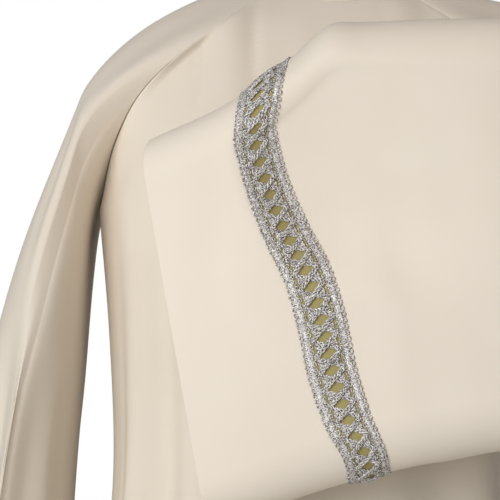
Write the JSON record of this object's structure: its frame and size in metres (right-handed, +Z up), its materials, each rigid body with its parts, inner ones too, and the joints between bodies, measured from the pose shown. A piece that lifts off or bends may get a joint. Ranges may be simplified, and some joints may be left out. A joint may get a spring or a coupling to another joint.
{
  "type": "alb",
  "caption": "Long ivory vestment with wide raglan sleeves and a low neck band, in its worn form, one sleeve bent across the chest, with silver galloon above each cuff.",
  "frame": {"origin": "midway between the two side neck points, at the level where the wearer's shoulders carry the garment", "axes": "+Z up, from the hem to the neck; -Y is the front; +X is the wearer's left"},
  "size_m": [0.7253, 0.612, 1.4562],
  "materials": {
    "ivory_cloth": "matt polyester cloth with a slight sheen",
    "silver_galloon": "silver metallised braid with flat gold lozenges"
  },
  "bodies": {
    "root": {"front_panel": "ivory_cloth", "back_panel": "ivory_cloth", "left_sleeve": "ivory_cloth", "right_sleeve": "ivory_cloth", "neck_band": "ivory_cloth", "left_galloon": "silver_galloon", "right_galloon": "silver_galloon"}
  },
  "joints": []
}
